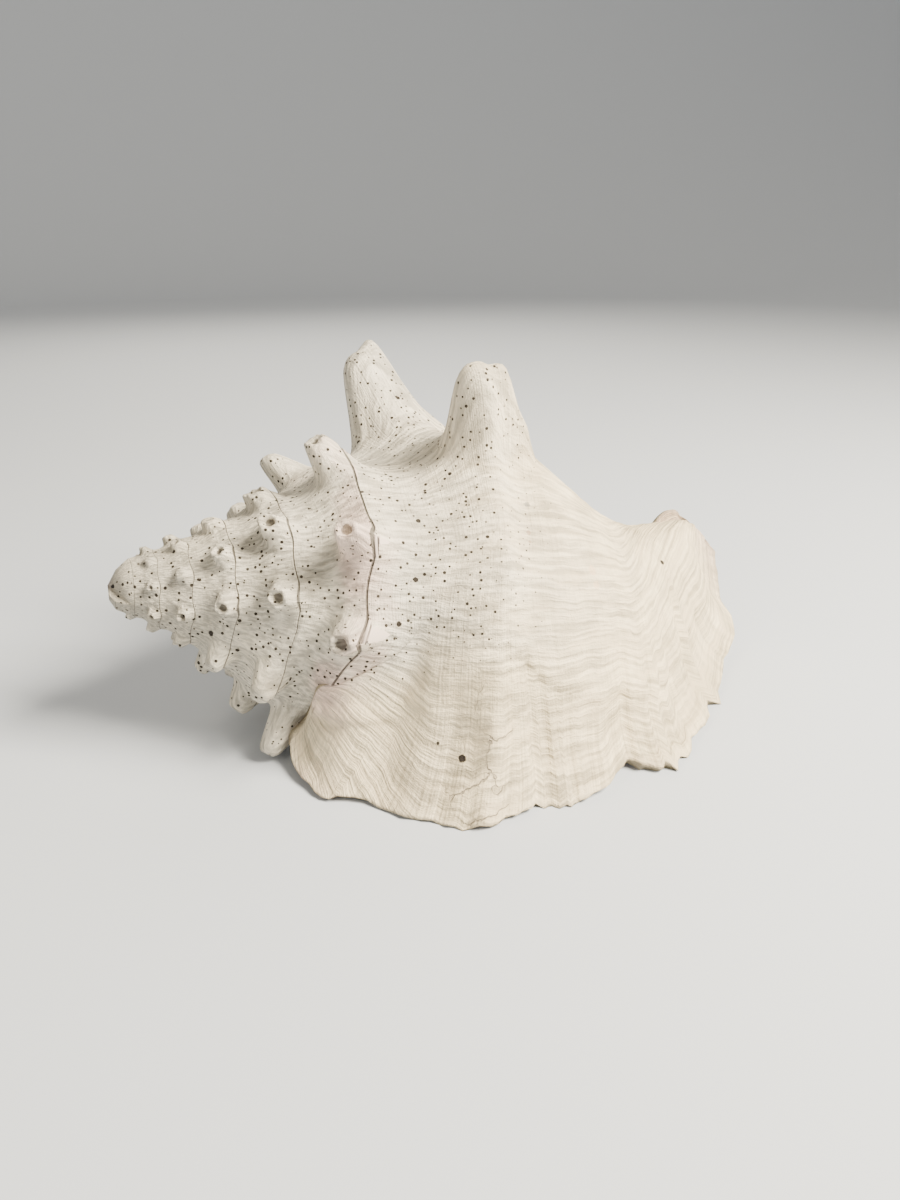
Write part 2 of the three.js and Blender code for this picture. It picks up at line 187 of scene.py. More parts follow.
# Bites out of the margin and teeth on it: side, half width in side, depth in millimetres, less than
# nothing for a tooth.
BITES = [
    (0.355, 0.016, 2.6),
    (0.30, 0.010, -1.0),
    (0.52, 0.012, 1.2),
    (0.97, 0.008, 1.2),
    (1.29, 0.022, 4.4),
    (1.25, 0.006, 1.2),
    (1.36, 0.007, 1.4),
    (1.405, 0.006, 1.5),
    (1.432, 0.007, -3.2),
    (1.455, 0.008, 2.4),
    (1.505, 0.009, 1.6),
    (1.57, 0.006, 2.6),
    (1.583, 0.004, -3.0),
    (1.62, 0.007, 2.0),
    (1.69, 0.009, 1.6),
    (1.75, 0.010, 1.4),
]

# Larger holes, drawn as dips with painted shade inside, as turn, side and radius in millimetres, and
# stains,
# Past the coil, the turn is 1 more than the spread over the lip.
HOLES = [
    (-0.195, 0.305, 0.75),
    (-0.127, 0.295, 0.75),
    (-0.083, 0.195, 0.8),
    (-0.27, 0.22, 0.6),
    (-0.235, 0.4, 0.5),
    (1.135, 1.576, 0.8),
    (1.74, 0.64, 1.15),
    (1.7, 0.516, 0.5),
    (-1.98, 0.125, 0.7),
    (-2.992, 0.488, 0.9),
]
GREY = (0.25, 0.24, 0.22)
BROWN = (0.36, 0.24, 0.16)
ORANGE = (0.84, 0.6, 0.38)
STAINS = [
    (-0.208, 1.035, 1.1, GREY, 0.75),
    (-0.175, 1.02, 0.9, BROWN, 0.6),
    (-0.165, 1.024, 0.6, BROWN, 0.6),
    (-0.14, 1.225, 1.8, ORANGE, 0.5),
    (-0.125, 1.227, 1.5, ORANGE, 0.45),
    (-1.165, 0.83, 1.6, ORANGE, 0.5),
]

# Swellings and hollows of the lip: spread, side, their half widths, and height in millimetres.
LIP_FORMS = [
    (0.66, 0.79, 0.15, 0.075, 2.4),
    (0.84, 0.69, 0.14, 0.06, 1.5),
    (0.75, 1.04, 0.22, 0.13, -1.4),
    (0.6, 0.6, 0.16, 0.1, -1.2),
]

# The old edge that shows on the lip as a low terrace: side and spread.
TERRACE = [(0, 0.5), (0.3, 0.53), (0.46, 0.49), (0.66, 0.38), (0.86, 0.27), (0.97, 0.37), (1.08, 0.49),
           (1.2, 0.58), (1.45, 0.62), (1.7, 0.6), (2, 0.6)]

# Steps of the mesh.
STEPS_PER_TURN = 176
RAMP_STEPS = 40
LIP_STEPS = 66
CAVITY_STEPS = 44
SIDE_KNOTS = [1, 1.1, 1.2, 1.31, 1.42, 1.53, 1.6, 1.66, 1.7, 1.735, 1.77, 1.81, 1.86, 1.93, 2]
SIDE_SUBSTEPS = 8
FLOOR_RIM = 0.8
FLOOR_STEPS = 96


def step(x, low, high):
    """0 below low, 1 above high, and a smooth step between."""
    t = np.clip((x - low) / (high - low), 0, 1)
    return t * t * (3 - 2 * t)


def bell(x, middle, width):
    """A bell of height 1 at middle."""
    return np.exp(-(((x - middle) / width) ** 2))


def spline(x, knots, values):
    """A natural cubic spline at x. Its second derivatives solve one linear system of the knots."""
    knots = np.asarray(knots, float)
    values = np.asarray(values, float)
    gaps = np.diff(knots)
    count = len(knots)
    inner = np.arange(1, count - 1)
    left = np.eye(count)
    right = np.zeros((count, count))
    left[inner, inner - 1] = gaps[:-1]
    left[inner, inner] = 2 * (gaps[:-1] + gaps[1:])
    left[inner, inner + 1] = gaps[1:]
    right[inner, inner - 1] = 6 / gaps[:-1]
    right[inner, inner] = -6 / gaps[:-1] - 6 / gaps[1:]
    right[inner, inner + 1] = 6 / gaps[1:]
    second = np.tensordot(np.linalg.solve(left, right), values, axes=1)
    i = np.clip(np.searchsorted(knots, x, side="right") - 1, 0, count - 2)
    b = (x - knots[i]) / gaps[i]
    a = 1 - b

    def pick(table, index):
        if table.ndim == 1:
            return table[index]
        return np.take_along_axis(table, index[None], 0)[0]

    bend = (a**3 - a) * pick(second, i) + (b**3 - b) * pick(second, i + 1)
    return a * pick(values, i) + b * pick(values, i + 1) + bend * gaps[i] ** 2 / 6


def noise(u, v, seed):
    """Smooth noise from -1 to 1: random heights on a wrapped square lattice, eased between."""
    size = 64
    lattice = np.random.default_rng(seed).uniform(-1, 1, (size, size))
    i = np.floor(u).astype(int)
    j = np.floor(v).astype(int)
    a = step(u - i, 0, 1)
    b = step(v - j, 0, 1)
    i0, i1, j0, j1 = i % size, (i + 1) % size, j % size, (j + 1) % size
    low = lattice[i0, j0] * (1 - a) + lattice[i1, j0] * a
    high = lattice[i0, j1] * (1 - a) + lattice[i1, j1] * a
    return low * (1 - b) + high * b


def all_spines():
    """Every spine, with the even ones of the early whorls, each smaller than the next."""
    made = list(SPINES)
    turn = FIRST_EVEN_SPINE
    broken = 0
    while turn > SPINE_STEP - SPIRE_TURNS:
        size = SUTURE_RADIUS_GROWTH ** (turn + 1.2)
        height, width, lean = EVEN_SPINE
        broad = width * size**0.8
        broken += 1
        open_tip = 0.9 if broken % 3 else 0.2
        made.append((turn, EVEN_SPINE_SIDE, height * size**0.85, broad, broad, lean, open_tip))
        turn -= SPINE_STEP
    return made


def suture(turn, spines):
    """Distance along the axis and radius of the suture at a turn, swinging forward round each spine."""
    grown = np.minimum(turn, 0)
    size = SUTURE_RADIUS_GROWTH**grown
    reach = SUTURE_REACH * SUTURE_REACH_GROWTH**grown - SUTURE_START
    radius = SUTURE_RADIUS * size + APEX_RADIUS
    reach = np.where(turn > 0, spline(turn, SHOULDER_TURNS, SHOULDER_REACH), reach)
    radius = np.where(turn > 0, spline(turn, SHOULDER_TURNS, SHOULDER_RADIUS), radius)
    swing = np.full_like(size, -SUTURE_SETTLE)
    for spine in spines[FIRST_SPIRE_SPINE:]:
        swing += bell(turn, spine[0] + 1, 0.03)
    reach = reach + SUTURE_SWING * size * swing * (1 - step(turn, 0, 0.3))
    reach = reach - SUTURE_CLIMB * bell(turn, 0.02, 0.16)
    radius = radius - SUTURE_DRAW * bell(turn, 0.02, 0.12)
    return reach, radius


def edge(turn, side, spines):
    """The growing edge at a turn: distance along the axis and radius at a place on it, a spline through
    points of the ramp between two sutures and then of the body. In the spire the ramp is an even
    hollow curve from one suture to the next."""
    reach0, radius0 = suture(turn, spines)
    reach1, radius1 = suture(turn + 1, spines)
    long = reach1 - reach0
    wide = radius1 - radius0
    body = step(turn, -1.1, -0.6)
    reaches = [reach0]
    radii = [radius0]
    for part, out in ((0.35, -0.02), (0.66, 0.06), (0.86, 0.07)):
        reaches.append(reach0 + part * long - np.maximum(out, 0) * 0.8 * wide)
        radii.append(radius0 + part * wide + out * long)
    reaches.append(reach1)
    radii.append(radius1)
    for reach, reach_growth, radius, radius_growth in BODY_EDGE:
        reaches.append(reach * reach_growth**turn)
        radii.append(radius * radius_growth**turn)
    reaches.append(np.full_like(turn, CANAL_FLOOR))
    radii.append(np.zeros_like(turn))
    reach = spline(side, EDGE_PLACES, np.stack(reaches))
    radius = np.maximum(spline(side, EDGE_PLACES, np.stack(radii)), 0)
    ramp = np.minimum(side, 1)
    hollow = RAMP_HOLLOW * 4 * ramp * (1 - ramp)
    spire = np.where(side < 1, 1 - body, 0)
    reach = reach + (reach0 + ramp * long - reach) * spire
    radius = radius + (radius0 + ramp * wide - hollow * long - radius) * spire
    crease = step(ramp, 0, 0.012) * bell(ramp, 0.012, 0.016) * (1 - step(turn, -0.1, 0))
    return reach, radius - SUTURE_CREASE * SUTURE_RADIUS_GROWTH**turn * crease


def outward(angle):
    """The direction straight out from the axis, at an angle round it from the top."""
    return np.cos(angle)[..., None] * TOP + np.sin(angle)[..., None] * FRONT


def plain(turn, side, spines):
    """The whorl without its spines: points, the angle round the axis and the radius. Towards the canal
    the growing edge sweeps back, whorls skew and sag a little, and the body is flatter below."""
    reach, radius = edge(turn, side, spines)
    angle = LIP_ANGLE + 2 * np.pi * (turn - CANAL_SWEEP * step(side, 1.35, 2.05))
    down = np.maximum(-np.cos(angle), 0)
    flat = step(turn + np.minimum(side, 1), -0.95, -0.3)
    radius = radius * (1 - UNDERSIDE_FLAT * flat * down**2)
    tilt = SKEW * np.cos(angle) - SAG * down * step(reach, 10, 50)
    reach = reach + radius * tilt * (1 - step(reach, 80, 150))
    points = APEX + reach[..., None] * AXIS + radius[..., None] * outward(angle)
    return points, angle, radius


class Coil:
    """The coil's outside, with each spine's size on the surface worked out once."""

    def __init__(self):
        self.spines = all_spines()
        turn, side, height, across, along, lean, broken = np.array(self.spines).T
        _, angle, radius = plain(turn, side, self.spines)
        before, _, _ = plain(turn, side - 0.02, self.spines)
        after, _, _ = plain(turn, side + 0.02, self.spines)
        self.girth = 2 * np.pi * radius / across
        self.length = np.linalg.norm(after - before, axis=-1) / 0.04 / along
        self.way = np.cos(lean)[:, None] * outward(angle) - np.sin(lean)[:, None] * AXIS

    def __call__(self, turn, side):
        """Points of the outside: a blunt stump on a broad foot for each spine, some broken open at the
        tip with an uneven rim. The foot of a spine of the spire runs on under the start of the next
        whorl, one turn later, which is raised with it, so that the suture climbs over the foot."""
        turn, side = np.broadcast_arrays(np.asarray(turn, float), np.asarray(side, float))
        points, _, _ = plain(turn, side, self.spines)
        own = step(side, 0, 0.15) * (1 - step(side, 1.5, 1.9))
        next_whorl = 1 - step(side, 0.3, 0.9)
        for i, (place, middle, height, across, along, _, broken) in enumerate(self.spines):
            for later, shown in ((0, own), (1, next_whorl)):
                near = np.abs(turn - place - later) <= 0.2
                if not near.any() or (later and place > -0.8):
                    continue
                east = (turn[near] - later - place) * self.girth[i]
                north = (side[near] * (1 + 0.3 * later) + later - middle) * self.length[i]
                far = np.hypot(east, north)
                stump = STUMP_SHARE * np.exp(-((far / STUMP_WIDTH) ** 4))
                rise = height * (stump + (1 - STUMP_SHARE) * bell(far, 0, FOOT_WIDTH))
                small = min(across, along)
                rise -= broken * 0.8 * small * np.exp(-((far / 0.46) ** 4))
                ragged = noise(east * 2.6 + 7 * i, north * 2.6 + 5, 11)
                rise += 0.22 * small * max(broken, 0.1) * ragged * bell(far, 0.65, 0.35)
                points[near] += self.way[i] * (rise * shown[near])[..., None]
        return points


def flare_turn(side):
    """The turn at which the lip leaves the coil."""
    return -FLARE_START * step(side, 0, 0.55) * (1 - 0.5 * step(side, 1.5, 2))


def smooth_margin(side):
    """The line of the margin, before wear: a spline through the table's points, ending at the canal."""
    tip = APEX + CANAL_FLOOR * AXIS + 3 * outward(np.array(-0.5))
    knots = [row[0] for row in MARGIN] + [2]
    axes = [[row[axis] for row in MARGIN] + [tip[axis - 1]] for axis in (1, 2, 3)]
    return np.stack([spline(side, knots, values) for values in axes], -1)


def unit(vectors):
    """Vectors scaled to length 1."""
    return vectors / np.maximum(np.linalg.norm(vectors, axis=-1, keepdims=True), 1e-9)


def flare(coil, spread, side, wear):
    """The outside of the lip: a smooth sheet from the coil (0) to the margin (1). It leaves along the
    way the coil grew, bent to the spire beside the suture and to the canal at the other end, and ends
    in a margin worn by wear millimetres with bites, teeth and small chips."""
    spread, side = np.broadcast_arrays(np.asarray(spread, float), np.asarray(side, float))
    turn = flare_turn(side)
    start = coil(turn, side)
    end = smooth_margin(side)
    span = np.linalg.norm(end - start, axis=-1, keepdims=True)
    growth = unit(coil(turn + 0.001, side) - coil(turn - 0.001, side))
    high = np.minimum(side + 0.01, 2)
    low = np.maximum(side - 0.01, 0)
    across = unit(coil(turn, high) - coil(turn, low))
    to_spire = (1 - step(side, 0, 0.45))[..., None]
    to_canal = step(side, 1, 1.9)[..., None]
    leave = growth * (1 - 0.8 * to_spire) + across * (0.45 * to_canal - 1.3 * to_spire)
    away = end - APEX - 150 * AXIS
    away[..., 2] = 0
    away = unit(away)
    arrive = unit(unit(end - start) + FLARE_SPREAD * away)
    ends = step(side, 0, 0.04) * (1 - step(side, 1.85, 1.95))
    bite = -1.4 + 0.9 * noise(side * 42, side * 0, 21) + 0.6 * noise(side * 120, side * 0, 22)
    for place, width, depth in BITES:
        bite = bite + depth * bell(side, place, width)
    end = end - arrive * (wear * ends * bite)[..., None]
    t = spread[..., None]
    return (
        start * (2 * t**3 - 3 * t**2 + 1)
        + unit(leave) * span * (t**3 - 2 * t**2 + t)
        + end * (-2 * t**3 + 3 * t**2)
        + arrive * span * 1.15 * (t**3 - t**2)
    )


def normals(surface, first, second, low=-9.0, high=9.0):
    """Outward unit normals of a surface, from small steps along both places."""
    nudge = 0.004
    along = surface(np.minimum(first + nudge, high), second)
    along = along - surface(np.maximum(first - nudge, low), second)
    across = surface(first, np.minimum(second + nudge, 2))
    across = across - surface(first, np.maximum(second - nudge, 0))
    return unit(np.cross(along, across))


def relief(grown, side, spread, form):
    """Height of the growth lines, spiral cords, folds of the lip and worn hollows, in millimetres. Each
    is noise stretched along the growing edge or across it."""
    on_lip = step(spread, 0, 0.5)
    body = step(grown + np.minimum(side, 1), -0.4, 0.4)
    lines = noise(grown * 66, side * 2.6, 31) + 0.5 * noise(grown * 130, side * 5, 32)
    cords = noise(side * 36, grown * 2.4, 33) + 0.6 * noise(side * 70, grown * 5, 34)
    folds = noise(side * 17 + 0.6 * grown, grown * 3, 35) + 0.5 * noise(side * 40, grown * 4, 38)
    swells = noise(grown * 9, side * 5, 36)
    height = form.line_height * (0.45 + 0.55 * body) * lines
    height = height + form.cord_height * (0.25 + 0.75 * on_lip + 0.3 * body) * cords
    height = height + form.fold_height * on_lip * folds * (0.35 + 1.2 * step(spread, 0.5, 1))
    height = height + form.swell_height * (0.4 + body + 0.6 * on_lip) * swells
    for middle, place, long, wide, lift in LIP_FORMS:
        height = height + lift * bell(spread, middle, long) * bell(side, place, wide)
    places, spreads = zip(*TERRACE)
    past = spread - spline(side, places, spreads) - 0.015 * noise(side * 30, spread * 0, 37)
    terrace = step(past, -0.16, -0.02) * (1 - step(past, -0.02, 0.045))
    return height + form.terrace_height * terrace * on_lip


def turn_steps():
    """Steps of one whorl from 0 to 1, closer together over the shell's front and top."""
    fine = np.linspace(0, 1, 2001)
    density = 1.9 - 0.9 * step(fine, 0.08, 0.2) * (1 - step(fine, 0.45, 0.58))
    total = np.concatenate([[0], np.cumsum(density[1:] + density[:-1])])
    return np.interp(np.linspace(0, total[-1], STEPS_PER_TURN + 1), total, fine)


def shell_grids(form):
    """Every patch of the shell as a grid of points with its places, rows by turn and columns by side,
    so that faces look outward."""
    coil = Coil()
    ramp = np.linspace(0, 1, RAMP_STEPS + 1)
    ramp = ramp - 0.05 * np.sin(2 * np.pi * ramp)
    ramp[-1] = 1
    knots = np.arange(len(SIDE_KNOTS))
    fine = np.linspace(0, knots[-1], knots[-1] * SIDE_SUBSTEPS + 1)
    sides = np.concatenate([ramp, np.interp(fine, knots, SIDE_KNOTS)[1:]])
    wall_sides = sides[RAMP_STEPS + 1:-1]
    wear = form.margin_wear

    def lip(spread, side):
        return flare(coil, spread, side, wear)

    def raised(points, surface, grown, side, spread, first, low=-9.0, high=9.0):
        rest = np.where(side <= 1, step(side, 0, 0.06), 1) * (1 - step(side, 1.85, 1.95))
        rest = rest * np.where(grown < -0.99, 1 - step(side, 0.94, 1), 1)
        lift = relief(grown, side, spread, form) * rest
        return points + normals(surface, first, side, low, high) * lift[..., None]

    # The spire, one row of the ramp for each step of turn.
    whorl = turn_steps()
    starts = np.arange(-SPIRE_TURNS, -1)
    turns = np.append((starts[:, None] + whorl[:-1]).ravel(), -1)
    turn, side = np.meshgrid(turns, ramp, indexing="ij")
    spire = raised(coil(turn, side), coil, turn, side, np.zeros_like(turn), turn)
    grids = [("spire", spire, turn, side, np.zeros_like(turn))]

    # The body whorl, and the lip carried on from it.
    t, side = np.meshgrid(whorl, sides, indexing="ij")
    turn = -1 + t * (1 + flare_turn(side))
    body = raised(coil(turn, side), coil, turn, side, np.zeros_like(turn), turn)
    spread, lip_side = np.meshgrid(np.linspace(0, 1, LIP_STEPS + 1)[1:], sides, indexing="ij")
    grown = flare_turn(lip_side) + FLARE_TURNS * spread
    outer_lip = raised(
        lip(spread, lip_side), lip, grown, lip_side, spread, spread, 0.0, 1.0
    )
    outer = np.concatenate([body, outer_lip])
    grids.append((
        "body",
        outer,
        np.concatenate([turn, grown]),
        np.concatenate([side, lip_side]),
        np.concatenate([np.zeros_like(turn), spread]),
    ))

    # The inside: the outside moved in by the wall, closed on the old whorl at both ends.
    def inner_wall(back, side):
        turn = -1 + (1 - back) * (1 + flare_turn(side))
        points = coil(turn, side) - normals(coil, turn, side) * form.wall
        start = coil(-1 - back, np.full_like(side, wall_sides[0]))
        end = coil(-1 - back, np.full_like(side, wall_sides[-1]))
        points = points + (start - points) * (1 - step(side, 0, 0.2))[..., None]
        return points + (end - points) * step(side, 1.8, 2)[..., None]

    back, side = np.meshgrid(np.linspace(0, CAVITY_TURNS, CAVITY_STEPS + 1), sides, indexing="ij")
    inner = inner_wall(back, side)
    spread, side = np.meshgrid(np.linspace(0, 1, LIP_STEPS + 1), sides, indexing="ij")
    inside = np.clip(spread, 0.01, 0.99)
    thick = form.lip_wall - 0.8 * spread
    under = lip(inside, side) - normals(lip, inside, side, 0.0, 1.0) * thick[..., None]
    under = under + np.where(spread == 1, 1, 0)[..., None] * (
        lip(np.ones_like(side), side) - lip(np.full_like(side, 0.99), side)
    )
    under = under + (inner_wall(np.zeros_like(side), side) - under) * (
        1 - step(spread, 0, 0.3)
    )[..., None]
    inner[0] = under[0]
    back, wall_side = np.meshgrid(back[:, 0], wall_sides, indexing="ij")
    old = coil(-1 - back, wall_side)
    old[0] = body[0][RAMP_STEPS + 1:-1]
    inner[:, 0] = old[:, 0]
    inner[:, -1] = old[:, -1]
    under[0] = inner[0]
    for name, points in (("inner", inner), ("under", under[::-1]), ("old", old[::-1])):
        rows, cols = points.shape[:2]
        u, v = np.meshgrid(np.linspace(0, 1, rows), np.linspace(0, 2, cols), indexing="ij")
        grids.append((name, points, u, v, np.full_like(u, -1)))

    # The rims between outside and inside, and the blunt apex and the end of the cavity.
    rim = np.stack([outer[-1], under[-1]])
    first_rows = np.concatenate([body[-1:], outer_lip])
    near = np.stack([under[:, 0], first_rows[:, 0]], 1)
    far = np.stack([first_rows[:, -1], under[:, -1]], 1)
    tip = APEX - APEX_DOME * AXIS
    loop = np.concatenate([spire[:STEPS_PER_TURN + 1, 0], spire[0, ::-1][1:]])
    shoulder = loop + (tip - loop) * 0.4 - AXIS
    cap = np.stack([np.broadcast_to(tip, loop.shape), shoulder, loop], 1)
    middle = np.concatenate([inner[-1], old[-1]]).mean(0)
    roof = np.stack([np.broadcast_to(middle, inner[-1].shape), inner[-1]])[:, ::-1]
    floor = np.stack([np.broadcast_to(middle, old[-1].shape), old[-1]])
    for name, points in (
        ("rim", rim), ("near", near), ("far", far), ("cap", cap), ("roof", roof), ("floor", floor)
    ):
        rows, cols = points.shape[:2]
        u, v = np.meshgrid(np.linspace(0, 1, rows), np.linspace(0, 1, cols), indexing="ij")
        spread = {"cap": 0, "rim": 1, "near": 1, "far": 1}.get(name, -1)
        grids.append((name, points, u, v, np.full_like(u, spread)))
    return coil, grids


def join(grids):
    """One closed mesh of all the grids: shared points are merged, and faces that have shrunk to a line
    are dropped. Returns points, corners, the corners of each face, and three values per corner."""
    points, places, quads = [], [], []
    offset = 0
    for _, grid, grown, side, spread in grids:
        rows, cols = grid.shape[:2]
        index = offset + np.arange(rows * cols).reshape(rows, cols)
        quads.append(np.stack([
            index[:-1, :-1], index[1:, :-1], index[1:, 1:], index[:-1, 1:],
        ], -1).reshape(-1, 4))
        points.append(grid.reshape(-1, 3))
        places.append(np.stack([grown, side, spread], -1).reshape(-1, 3))
        offset += rows * cols
    points = np.concatenate(points) + PLACE
    points[:, 2] = np.maximum(points[:, 2], 0)
    places = np.concatenate(places)
    quads = np.concatenate(quads)
    keys = np.round(points * 500).astype(np.int64)
    _, first, merged = np.unique(keys, axis=0, return_index=True, return_inverse=True)
    merged = merged.reshape(-1)
    corners = merged[quads]
    kept = corners != np.roll(corners, -1, axis=1)
    count = kept.sum(1)
    kept &= (count >= 3)[:, None]
    return points[first], corners[kept], count[count >= 3], places[quads[kept]]


def make_mesh(name, points, corners, count, places):
    """A Blender mesh in metres, smooth, with the places as corner attributes."""
    mesh = bpy.data.meshes.new(name)
    mesh.vertices.add(len(points))
    mesh.vertices.foreach_set("co", (points / 1000).astype(np.float32).ravel())
    mesh.loops.add(len(corners))
    mesh.loops.foreach_set("vertex_index", corners.astype(np.int32))
    mesh.polygons.add(len(count))
    starts = np.concatenate([[0], np.cumsum(count)[:-1]])
    mesh.polygons.foreach_set("loop_start", starts.astype(np.int32))
    mesh.update(calc_edges=True)
    for i, key in enumerate(("grown", "side", "spread")):
        layer = mesh.attributes.new(key, "FLOAT", "CORNER")
        layer.data.foreach_set("value", places[:, i].astype(np.float32))
    if mesh.validate():
        raise ValueError("the shell's mesh has faults")
    mesh.polygons.foreach_set("use_smooth", np.ones(len(count), bool))
    mesh.update()
    return mesh


class Nodes:
    """Short ways to add linked shader nodes to a material."""

    def __init__(self, material):
        material.use_nodes = True
        self.tree = material.node_tree
        self.tree.nodes.clear()

    def add(self, kind, inputs=(), **settings):
        node = self.tree.nodes.new("ShaderNode" + kind)
        for key, value in settings.items():
            setattr(node, key, value)
        for key, value in dict(inputs).items():
            self.put(value, node.inputs[key])
        return node

    def put(self, value, socket):
        if isinstance(value, bpy.types.NodeSocket):
            self.tree.links.new(value, socket)
        else:
            socket.default_value = value

    def math(self, operation, a, b=0.0, c=0.0, clamp=False):
        node = self.add("Math", {0: a, 1: b, 2: c}, operation=operation, use_clamp=clamp)
        return node.outputs[0]

    def ramp(self, value, low, high, to_low=0.0, to_high=1.0):
        node = self.add("MapRange", {
            "Value": value, "From Min": low, "From Max": high, "To Min": to_low, "To Max": to_high,
        }, interpolation_type="SMOOTHSTEP")
        return node.outputs["Result"]

    def mix(self, share, a, b, blend="MIX"):
        node = self.add("Mix", data_type="RGBA", blend_type=blend)
        self.put(share, node.inputs[0])
        self.put(a, node.inputs[6])
        self.put(b, node.inputs[7])
        return node.outputs[2]

    def noise(self, vector, scale, detail=3.0, rough=0.55):
        node = self.add("TexNoise", {
            "Vector": vector, "Scale": scale, "Detail": detail, "Roughness": rough,
        })
        return node.outputs["Fac"]

    def vector(self, x, y, z=0.0):
        return self.add("CombineXYZ", {0: x, 1: y, 2: z}).outputs[0]

    def attribute(self, name):
        return self.add("Attribute", attribute_name=name).outputs["Fac"]


def shell_material(look, coil, form):
    """Bleached shell: chalky white on the spire, cream on the lip, faint pink, painted shade in the
    sutures, fine growth lines and cords, pores and a few larger holes with painted shade inside, and
    painted shade in the open tips of broken spines. The inside is smoother and faintly pink."""
    material = bpy.data.materials.new("bleached_shell")
    n = Nodes(material)
    place = n.add("TexCoord").outputs["Object"]
    grown = n.attribute("grown")
    side = n.attribute("side")
    spread = n.attribute("spread")
    x = n.add("SeparateXYZ", {0: place}).outputs[0]
    inside = n.ramp(spread, -0.5, -0.05, 1, 0)
    lip = n.ramp(spread, 0.0, 0.5)

    waves = n.math("MULTIPLY", n.noise(place, 45, 3), 3.2)
    lines = n.noise(n.vector(n.math("MULTIPLY_ADD", grown, 190, waves), n.math("MULTIPLY", side, 5)), 1, 4)
    bands = n.noise(n.vector(n.math("MULTIPLY_ADD", grown, 42, waves), n.math("MULTIPLY", side, 2)), 1, 3)
    cords = n.noise(n.vector(n.math("MULTIPLY", side, 110), n.math("MULTIPLY", grown, 7)), 1, 4)
    cloud = n.noise(place, 26, 5)
    grain = n.noise(place, 900, 4, 0.7)
    blotch = n.noise(place, 70, 6, 0.6)

    warm = n.math("MAXIMUM", n.ramp(x, -0.03, 0.06), n.math("MULTIPLY", lip, 0.9))
    warm = n.math("MULTIPLY_ADD", n.math("SUBTRACT", cloud, 0.5), 0.9, warm, clamp=True)
    colour = n.mix(warm, tuple(look.white) + (1,), tuple(look.cream) + (1,))
    pink = n.math("MULTIPLY", n.ramp(cloud, 0.42, 0.6), n.ramp(grown, -1.5, -1.1))
    old_whorl = n.math("MULTIPLY", n.ramp(side, 0.45, 0.7), n.ramp(grown, -0.95, -1.0))
    young_whorl = n.math("MULTIPLY", n.ramp(side, 0.3, 0.1), n.ramp(grown, -0.2, -0.1))
    pink = n.math("MULTIPLY", pink, n.math("MAXIMUM", old_whorl, young_whorl))
    canal = n.math("MULTIPLY", n.ramp(side, 1.66, 1.8), n.ramp(spread, 0.1, 0.4))
    pink = n.math("MAXIMUM", pink, n.math("MULTIPLY", canal, 0.7), clamp=True)
    colour = n.mix(n.math("MULTIPLY", pink, 0.8), colour, tuple(look.pink) + (1,))
    stripes = n.ramp(lines, 0.36, 0.64, 0.62, 1.08)
    cord_low = n.ramp(spread, 0.3, 1, 0.93, 0.72)
    stripes = n.math("MULTIPLY", stripes, n.add("MapRange", {
        "Value": cords, "From Min": 0.34, "From Max": 0.62, "To Min": cord_low, "To Max": 1.03,
    }).outputs["Result"])
    stripes = n.math("MULTIPLY", stripes, n.ramp(blotch, 0.3, 0.7, 0.8, 1.08))
    colour = n.mix(1.0, colour, n.vector(stripes, stripes, stripes), "MULTIPLY")
    colour = n.mix(n.math("MULTIPLY", n.ramp(blotch, 0.6, 0.72), 0.25), colour, (0.62, 0.52, 0.4, 1))
    banded = n.math("MULTIPLY", n.ramp(bands, 0.47, 0.62), n.math("MULTIPLY", warm, 0.55))
    colour = n.mix(banded, colour, tuple(look.straw) + (1,))

    # The suture's line: a groove in the bump, and painted shade in the suture's crease.
    suture_groove_and_shade = n.math("MULTIPLY", n.ramp(side, 0.019, 0.009), n.ramp(spread, 0.03, 0.0))

    # Pores: dips in the bump, with painted shade inside them.
    cells = n.add("TexVoronoi", {"Vector": place, "Scale": 480.0, "Randomness": 0.9})
    keep = n.add("SeparateColor", {0: cells.outputs["Color"]})
    worn = n.math("MAXIMUM", n.ramp(grown, -0.6, -1.0), n.ramp(x, 0.05, 0.0))
    worn = n.math("MULTIPLY", worn, n.ramp(spread, 0.6, 0.1))
    worn = n.math("MULTIPLY", worn, n.ramp(cloud, 0.3, 0.5, 0.7, 1.0))
    reach = n.math("MULTIPLY", n.ramp(keep.outputs[0], 0.0, 1.0, 0.15, 0.255), worn)
    pores = n.math("LESS_THAN", cells.outputs["Distance"], reach)
    big = n.add("TexVoronoi", {"Vector": place, "Scale": 105.0, "Randomness": 1.0})
    big_reach = n.math("MULTIPLY", worn, 0.07)
    pores = n.math("MAXIMUM", pores, n.math("LESS_THAN", big.outputs["Distance"], big_reach))

    def near(turn, middle, radius):
        """1 within an uneven round spot of the surface, given its radius in millimetres."""
        if turn > 1:
            point = flare(coil, turn - 1, middle, form.margin_wear)
        else:
            point = coil(turn, middle)
        spot = Vector((point + PLACE).ravel() / 1000)
        gap = n.add("VectorMath", {0: place, 1: spot}, operation="DISTANCE").outputs["Value"]
        gap = n.math("MULTIPLY_ADD", n.math("SUBTRACT", grain, 0.5), radius / 900, gap)
        return n.ramp(gap, radius / 900, radius / 1200)

    # The larger holes, with painted shade inside like the pores.
    for turn, middle, radius in HOLES:
        pores = n.math("MAXIMUM", pores, near(turn, middle, radius))
    for turn, middle, radius, shade, strength in STAINS:
        stain_and_tip_shade = n.math("MULTIPLY", near(turn, middle, radius), strength)
        colour = n.mix(stain_and_tip_shade, colour, tuple(shade) + (1,))
    # Painted shade in the open tips of broken spines.
    for turn, middle, _, across, along, _, broken in coil.spines:
        if broken > 0.7:
            stain_and_tip_shade = n.math("MULTIPLY", near(turn, middle, 0.34 * min(across, along)), 0.72)
            colour = n.mix(stain_and_tip_shade, colour, tuple(look.painted_shade) + (1,))
    pores = n.math("MULTIPLY", pores, n.math("SUBTRACT", 1.0, inside))

